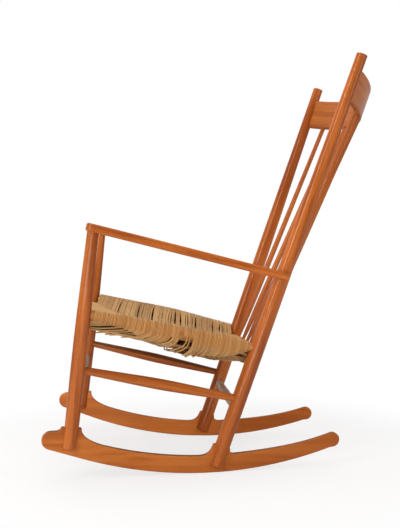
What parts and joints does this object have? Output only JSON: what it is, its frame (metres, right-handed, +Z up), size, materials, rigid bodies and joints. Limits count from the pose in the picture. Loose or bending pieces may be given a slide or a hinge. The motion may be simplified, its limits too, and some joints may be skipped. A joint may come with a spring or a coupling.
{
  "type": "spindle-back rocking chair",
  "caption": "Wooden rocking chair with a bent crest rail, slim back spindles, flat arms and a worn woven cord seat.",
  "frame": {"origin": "centre of the bounding box at floor height, midway between the two rockers", "axes": "+X to the sitter's left, +Y to the rear, +Z up; the chair stands as it rests empty"},
  "size_m": [0.5964, 0.88, 1.0686],
  "materials": {
    "rocker_wood": "satin",
    "turned_wood": "satin",
    "arm_wood": "satin",
    "dowel_wood": "matte",
    "rail_wood": "matte",
    "worn_wood": "matte",
    "crest_wood": "satin",
    "spindle_wood": "satin",
    "paper_cord": "matte"
  },
  "bodies": {
    "root": {"left_rocker": "rocker_wood", "right_rocker": "rocker_wood", "left_front_leg": "turned_wood", "right_front_leg": "turned_wood", "left_back_post": "turned_wood", "right_back_post": "turned_wood", "left_arm": "arm_wood", "right_arm": "arm_wood", "left_arm_dowel": "dowel_wood", "right_arm_dowel": "dowel_wood", "left_seat_rail": "rail_wood", "right_seat_rail": "rail_wood", "left_stretcher": "turned_wood", "right_stretcher": "turned_wood", "front_seat_rail": "rail_wood", "rear_seat_rail": "rail_wood", "front_stretcher": "worn_wood", "rear_stretcher": "worn_wood", "crest_rail": "crest_wood", "spindle_1": "spindle_wood", "spindle_2": "spindle_wood", "spindle_3": "spindle_wood", "spindle_4": "spindle_wood", "spindle_5": "spindle_wood", "spindle_6": "spindle_wood", "spindle_7": "spindle_wood", "woven_seat": "paper_cord"}
  },
  "joints": []
}
